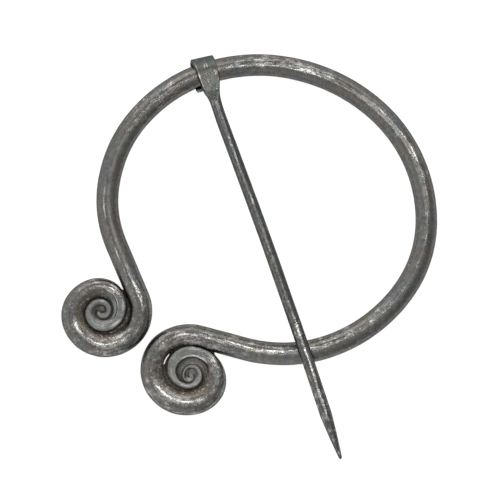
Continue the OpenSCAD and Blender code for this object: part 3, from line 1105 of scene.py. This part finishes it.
def forged_iron(name, dark, light, bare_and_highlight, drawn_light, speck, mottle):
    """Dark forge scale, brushed back to grey and bare metal on the high spots, with painted highlights and
    glints of bare and polished metal where the high attribute carries them, brown in the crevices.
    """
    material = bpy.data.materials.new(name)
    n = Nodes(material)
    place = n.add("ShaderNodeTexCoord").outputs["Object"]
    in_rod = n.add("ShaderNodeAttribute", attribute_name="in_rod").outputs["Vector"]
    high = n.attribute("high")
    drawn = n.attribute("drawn")
    calm = n.attribute("calm")
    cloud = n.noise(place, *CLOUD)
    patch = n.noise(place, *PATCH)
    fine = n.noise(place, *FINE)
    lines = n.streak(in_rod, *BRUSH)
    # Scale, from dark to grey in soft patches, with a green and a purple cast
    grey = n.span(n.weigh((patch, 0.55), (fine, 0.45)), *GREY_SPAN)
    colour = n.mix(grey, dark, light)
    colour = n.mix(n.math("MULTIPLY", drawn, n.span(patch, *DRAWN_SPAN)), colour, drawn_light)
    colour = n.mix(n.math("MULTIPLY", n.attribute("core"), CORE_SHOWS), colour, CORE)
    for tints, much in ((SMALL_TINTS, mottle), (WIDE_TINTS, 1)):
        for kind, low, full, tint in tints:
            there = n.span(n.noise(place, *kind), low, full, 0, much)
            colour = n.mix(there, colour, tint, "MULTIPLY")
    # Bare metal where the brush has taken the scale off, and painted highlights along the ridges, crests,
    # coil lines and the strip's edge
    open_to_brush = n.math("SUBTRACT", 1.0, n.math("MULTIPLY", calm, CALM_SHIELDS))
    brushed = n.weigh((fine, 0.35), (lines, 0.55))
    wear_and_highlight = n.weigh((high, 0.35), (brushed, 1.0))
    bared_and_highlight = n.math("MULTIPLY", n.span(wear_and_highlight, *BARED_SPAN), open_to_brush)
    colour = n.mix(n.math("MULTIPLY", bared_and_highlight, speck), colour, bare_and_highlight)
    # Painted glints of polished metal, where the painted highlights and brush lines are strongest
    polished_glint = n.span(n.weigh((high, 1.0), (lines, 2.0)), *POLISHED_SPAN)
    colour = n.mix(polished_glint, colour, POLISHED_GLINT)
    # Old brown wax, duller than the metal, with a few pale grains in it
    wax = n.math("MULTIPLY", n.attribute("crevice"), n.span(patch, *WAX_SPAN))
    colour = n.mix(wax, colour, WAX)
    soot = n.math("MULTIPLY", n.attribute("grime"), n.span(patch, *SOOT_SPAN))
    colour = n.mix(soot, colour, SOOT)
    grains = n.span(n.noise(place, *GRAINS), *GRAINS_SPAN)
    colour = n.mix(n.math("MULTIPLY", grains, wax), colour, WAX_GRAIN)
    shader = n.add("ShaderNodeBsdfPrincipled")
    n.join(colour, shader.inputs["Base Color"])
    n.join(n.span(wax, *METAL_SPAN), shader.inputs["Metallic"])
    shader.inputs["Specular Tint"].default_value = (EDGE_TINT, EDGE_TINT, EDGE_TINT, 1)
    rough = n.span(n.weigh((cloud, 1.0), (wax, 0.3), (bared_and_highlight, -0.3)), *ROUGH_SPAN)
    n.join(n.weigh((rough, 1.0), (calm, 0.14), (drawn, 0.08)), shader.inputs["Roughness"])
    # Fine scale and brush marks, under half a millimetre, are bump
    bump = n.add("ShaderNodeBump")
    bump.inputs["Strength"].default_value = 1.0
    bump.inputs["Distance"].default_value = BUMP_DEPTH * MM
    grit = n.weigh((brushed, 0.8), (patch, 0.8))
    n.join(n.math("MULTIPLY", grit, open_to_brush), bump.inputs["Height"])
    n.join(bump.outputs["Normal"], shader.inputs["Normal"])
    n.finish(shader)
    return material


ring.data.materials.append(forged_iron(
    "ring_iron", dark=(0.108, 0.103, 0.097), light=(0.168, 0.163, 0.155), bare_and_highlight=(0.39, 0.38, 0.36),
    drawn_light=(0.235, 0.242, 0.235), speck=0.9, mottle=0.6))
pin.data.materials.append(forged_iron(
    "pin_iron", dark=(0.083, 0.081, 0.077), light=(0.133, 0.132, 0.126), bare_and_highlight=(0.39, 0.388, 0.374),
    drawn_light=(0.098, 0.11, 0.1), speck=0.85, mottle=0.8))

# The table is paper that glows a little to read as white: half its width in metres, and its looks
PAPER_HALF = 1.2
PAPER_GREY = 0.25
PAPER_GLOW = 0.9
PAPER_ROUGH = 0.9
PAPER_SPECULAR = 0.1


def make_floor():
    """Pale table under the brooch, bright enough to read as white paper."""
    corners = [(x * PAPER_HALF, y * PAPER_HALF, 0) for x, y in ((-1, -1), (1, -1), (1, 1), (-1, 1))]
    mesh = bpy.data.meshes.new("floor")
    mesh.from_pydata(corners, [], [(0, 1, 2, 3)])
    floor = bpy.data.objects.new("floor", mesh)
    bpy.context.scene.collection.objects.link(floor)
    material = bpy.data.materials.new("paper")
    n = Nodes(material)
    shader = n.add("ShaderNodeBsdfPrincipled")
    shader.inputs["Base Color"].default_value = (PAPER_GREY, PAPER_GREY, PAPER_GREY, 1)
    shader.inputs["Roughness"].default_value = PAPER_ROUGH
    shader.inputs["Specular IOR Level"].default_value = PAPER_SPECULAR
    shader.inputs["Emission Color"].default_value = (1, 1, 1, 1)
    shader.inputs["Emission Strength"].default_value = PAPER_GLOW
    n.finish(shader)
    mesh.materials.append(material)


def soft_light(name, towards, lean, distance, along, wide, tall, radiance):
    """Soft box aimed at the brooch, in degrees: towards is its compass angle from +X, lean its angle
    from straight above, along the compass angle of its wide side, and wide and tall its two spans.
    Radiance is how bright its face is, with white paper at 1."""
    a = math.radians(towards)
    e = math.radians(lean)
    back = Vector((math.cos(a) * math.sin(e), math.sin(a) * math.sin(e), math.cos(e)))
    light = bpy.data.lights.new(name, "AREA")
    light.shape = "RECTANGLE"
    light.size = 2 * distance * math.tan(math.radians(wide / 2))
    light.size_y = 2 * distance * math.tan(math.radians(tall / 2))
    light.energy = radiance * math.pi * light.size * light.size_y
    lamp = bpy.data.objects.new(name, light)
    lamp.location = back * distance
    side = Vector((math.cos(math.radians(along)), math.sin(math.radians(along)), 0))
    side = (side - back * side.dot(back)).normalized()
    lamp.rotation_euler = Matrix((side, back.cross(side), back)).transposed().to_euler()
    lamp.visible_camera = False
    bpy.context.scene.collection.objects.link(lamp)


# Soft boxes: (name, towards, lean, distance in metres, along, wide, tall, radiance)
LIGHTS = [
    ("strip_light", 47, 14.6, 0.55, 180, 32, 9, 5.2),
    ("top_light", 219, 6.4, 1.2, 180, 60, 56, 0.36),
    ("back_light", 88, 60, 1.3, 178, 80, 40, 1.3),
    ("left_light", 158, 60, 1.3, 248, 86, 52, 0.68),
    ("front_light", 240, 63, 1.3, 330, 76, 48, 0.52),
    ("right_light", 38, 57, 1.3, 128, 46, 20, 0.35),
]
# Even light from all round
ROOM = 0.45


def make_light():
    """Soft boxes and an evenly lit room."""
    for row in LIGHTS:
        soft_light(*row)
    world = bpy.data.worlds.new("room")
    world.use_nodes = True
    background = world.node_tree.nodes["Background"]
    background.inputs["Color"].default_value = (1, 1, 1, 1)
    background.inputs["Strength"].default_value = ROOM
    bpy.context.scene.world = world
    bpy.context.scene.view_settings.view_transform = "Standard"
    bpy.context.scene.view_settings.look = "None"


# The photograph's middle in millimetres from the brooch's, the rod's height, the width of the frame
# there, and the camera's distance from it in metres
PHOTO_CENTRE = (0.2, 1.2)
ROD_HEIGHT = 2.8
FRAME_WIDTH = 100
CAMERA_DISTANCE = 1.1


def make_camera():
    """Straight above the brooch, as the photograph was taken."""
    camera = bpy.data.cameras.new("camera")
    camera.sensor_width = 36
    camera.lens = camera.sensor_width * CAMERA_DISTANCE / (FRAME_WIDTH * MM)
    camera.clip_start = 0.05
    camera.clip_end = 10
    eye = bpy.data.objects.new("camera", camera)
    eye.location = Vector((*PHOTO_CENTRE, ROD_HEIGHT)) * MM + Vector((0, 0, CAMERA_DISTANCE))
    bpy.context.scene.collection.objects.link(eye)
    bpy.context.scene.camera = eye


make_floor()
make_light()
make_camera()
